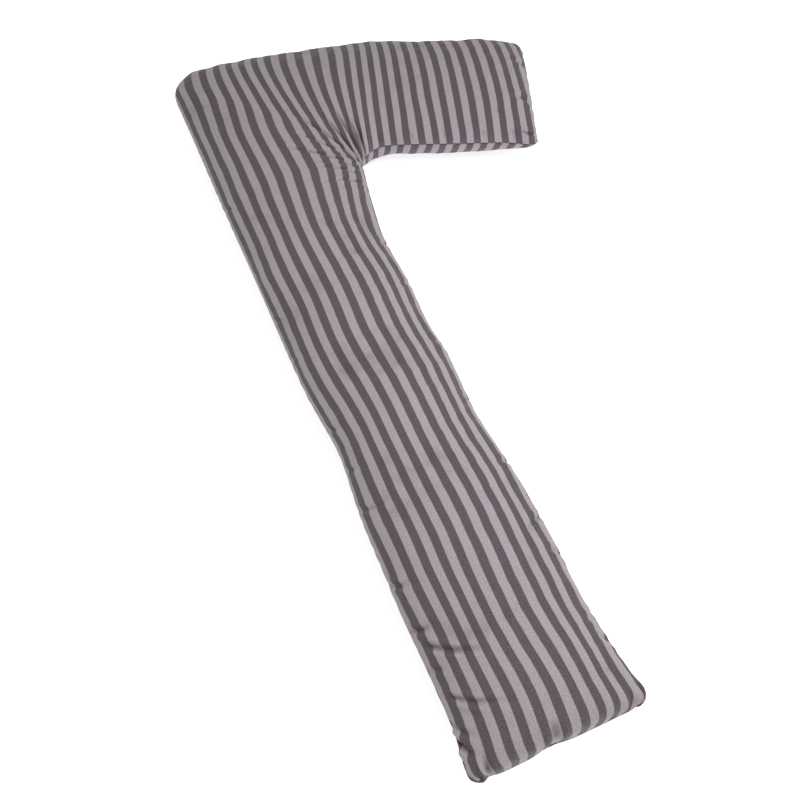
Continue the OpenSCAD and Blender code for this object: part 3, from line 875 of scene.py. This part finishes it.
# ---------------------------------------------------------------- threads
def stitches(name, line, length, gap, r):
    """Short threads laid end to end along a line of points, each a bead with tapered ends."""
    run = run_of(line)
    count = max(1, int(run[-1] / (length + gap)))
    at = (np.arange(count) + 0.5) * run[-1] / count
    verts, faces, sides = [], [], 6
    rings = [(-0.5, 0.35), (-0.36, 0.95), (0.36, 0.95), (0.5, 0.35)]
    for c in at:
        base = len(verts)
        for part, wide in rings:
            s = c + part * length
            p = np.array([np.interp(s, run, line[:, j]) for j in range(3)])
            q = np.array([np.interp(s + 1e-4, run, line[:, j]) for j in range(3)])
            d = q - p
            d /= max(np.linalg.norm(d), 1e-12)
            side = np.array([d[1], -d[0], 0.0])
            side /= max(np.linalg.norm(side), 1e-12)
            up = np.cross(side, d)
            for k in range(sides):
                ang = 2 * math.pi * k / sides
                verts.append(p + r * wide * (math.cos(ang) * side + math.sin(ang) * up))
        for i in range(len(rings) - 1):
            for k in range(sides):
                u, v = base + i * sides + k, base + i * sides + (k + 1) % sides
                faces.append([u, v, v + sides, u + sides])
        faces.append([base + k for k in range(sides)][::-1])
        faces.append([base + (len(rings) - 1) * sides + k for k in range(sides)])
    return new_object(name, verts, faces)


def open_line(loop, keep):
    """The loop's points where keep is true, in order, starting after a gap."""
    idx = np.where(keep)[0]
    gap = np.where(np.diff(idx) > 1)[0]
    if len(gap):
        idx = np.concatenate([idx[gap[0] + 1:], idx[:gap[0] + 1]])
    return loop[idx]


thread_mat = plain("cover_thread", srgb(92, 84, 89), srgb(112, 104, 109), 0.6, 1500.0, 0.5, 0.0003)
case_thread_mat = plain("case_thread", srgb(240, 238, 233), srgb(250, 249, 246), 0.6, 1500.0, 0.5, 0.0003)
rim = top[:n]
zipped = (rim[:, 0] < EDGE_X + ZIP_SIDE) & (at_zip(rim[:, 1]) > 0)
line = open_line(rim + 0.0016 * rim_inward(rim), ~zipped)
seam = stitches("cover_seam_thread_stitches", line, 0.0032, 0.0006, 0.00045)
seam.data.materials.append(thread_mat)
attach(seam, "pillow")
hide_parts("cover_seam_thread")

case_rim = a[:n] - 0.0015 * rim_inward(a[:n])
mid_end = (rim[:, 1] < rim[:, 1].min() + 0.03) & (np.abs(rim[:, 0] - EDGE_X - LAID.width / 2) < 0.056)
case_seam = stitches("case_seam_thread_stitches", open_line(case_rim, ~mid_end), 0.003, 0.0006, 0.00035)
closing = stitches("case_closing_stitches", case_rim[mid_end], 0.006, 0.004, 0.0004)
for o, node in ((case_seam, "inner_case_seam_thread"), (closing, "inner_case_closing_stitch")):
    o.data.materials.append(case_thread_mat)
    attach(o, "pillow")
    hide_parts(node)


# ---------------------------------------------------------------- the zip, whose CAD shapes stay
def woven_tape():
    """Dense herringbone tape."""
    m = Nodes("zip_tape_weave")
    at = m.node("ShaderNodeTexCoord").outputs["Object"]
    sep = m.node("ShaderNodeSeparateXYZ")
    m.put(sep.inputs[0], at)
    grain = m.noise(at, 900.0, 3.0, 0.6)
    zigzag = m.math("PINGPONG", m.math("MULTIPLY", sep.outputs[2], 1 / 0.0016), 0.5)
    along = m.math("MULTIPLY", sep.outputs[1], 1 / 0.0009)
    ribs = m.math("SINE", m.math("MULTIPLY", m.math("ADD", along, zigzag), 2 * math.pi))
    m.put(m.shader.inputs["Base Color"], m.mix(grain, srgb(62, 56, 60), srgb(86, 79, 84)))
    m.put(m.shader.inputs["Roughness"], m.math("MULTIPLY_ADD", grain, 0.15, 0.74))
    m.shader.inputs["Sheen Weight"].default_value = 0.1
    m.bump(m.math("MULTIPLY_ADD", ribs, 0.5, grain), 0.6, 0.00012)
    return m.mat


def moulded_nylon():
    """Smooth plastic with a faint flow grain."""
    m = Nodes("zip_nylon")
    at = m.node("ShaderNodeTexCoord").outputs["Object"]
    grain = m.noise(at, 700.0, 2.0, 0.5)
    m.put(m.shader.inputs["Base Color"], m.mix(grain, srgb(52, 47, 51), srgb(70, 64, 68)))
    m.put(m.shader.inputs["Roughness"], m.math("MULTIPLY_ADD", grain, 0.2, 0.28))
    m.bump(grain, 0.25, 0.0001)
    return m.mat


def cast_metal(name, tone_a, tone_b):
    """Tumbled zinc: brushed along its length, duller where it is handled."""
    m = Nodes(name)
    at = m.node("ShaderNodeTexCoord").outputs["Object"]
    long_grain = m.node("ShaderNodeMapping")
    m.put(long_grain.inputs["Vector"], at)
    long_grain.inputs["Scale"].default_value = (2600, 180, 2600)
    brushed = m.noise(long_grain.outputs[0], 1.0, 3.0, 0.6)
    worn = m.noise(at, 240.0, 3.0, 0.6)
    m.put(m.shader.inputs["Base Color"], m.mix(worn, tone_a, tone_b))
    m.put(m.shader.inputs["Roughness"], m.math("MULTIPLY_ADD", brushed, 0.22, 0.24))
    m.shader.inputs["Metallic"].default_value = 1.0
    m.bump(m.math("ADD", brushed, worn), 0.3, 0.00008)
    return m.mat


tape_weave, nylon = woven_tape(), moulded_nylon()
stop_metal = cast_metal("zip_stop_metal", srgb(138, 138, 142), srgb(168, 168, 172))
slider_metal = cast_metal("zip_slider_metal", srgb(150, 150, 155), srgb(188, 188, 192))
ZIP_FINISH = (
    (tape_weave, ("zip_tape_upper", "zip_tape_lower")),
    (thread_mat, ("zip_stitch_upper", "zip_stitch_lower")),
    (nylon, ("zip_chain_upper", "zip_chain_lower")),
    (stop_metal, ("zip_top_stop_upper", "zip_top_stop_lower", "zip_bottom_stop")),
    (slider_metal, ("zip_slider_body", "zip_pull_tab")),
)
for finish, names in ZIP_FINISH:
    for name in names:
        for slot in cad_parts[name].material_slots:
            slot.link = "OBJECT"
            slot.material = finish

# ---------------------------------------------------------------- floor, light and camera
scene = bpy.context.scene
ground = Nodes("floor_paint")
ground.shader.inputs["Base Color"].default_value = (0.9, 0.9, 0.9, 1)
ground.shader.inputs["Roughness"].default_value = 0.9
ground.shader.inputs["Emission Color"].default_value = (0.97, 0.98, 1, 1)
ground.shader.inputs["Emission Strength"].default_value = 0.70
FLOOR = 40  # half the floor's side
floor = new_object("floor", [(FLOOR * x, FLOOR * y, 0) for x, y in ((-1, -1), (1, -1), (1, 1), (-1, 1))],
                   [(0, 1, 2, 3)])
floor.location.z = -0.001
floor.data.materials.append(ground.mat)


def lamp(name, place, aim, size, power):
    """A round soft light at place, turned towards aim."""
    d = bpy.data.lights.new(name, "AREA")
    d.shape, d.size, d.energy = "DISK", size, power
    o = bpy.data.objects.new(name, d)
    scene.collection.objects.link(o)
    o.location = place
    o.rotation_euler = (Vector(aim) - Vector(place)).to_track_quat("-Z", "Y").to_euler()


lamp("overhead", (0.20, -0.50, 1.75), (-0.1, -0.25, 0), 1.4, 29)
world = bpy.data.worlds.new("studio")
scene.world = world
world.use_nodes = True
world.node_tree.nodes["Background"].inputs[0].default_value = (1, 1, 1, 1)
world.node_tree.nodes["Background"].inputs[1].default_value = 0.42
scene.view_settings.view_transform = "Standard"

cam = bpy.data.objects.new("camera", bpy.data.cameras.new("camera"))
scene.collection.objects.link(cam)
cam.location = (-0.524, -0.845, 1.238)
cam.rotation_euler = (math.radians(32.0), 0, math.radians(-23.4))
cam.data.sensor_width, cam.data.lens = 36.0, 37.5
scene.camera = cam
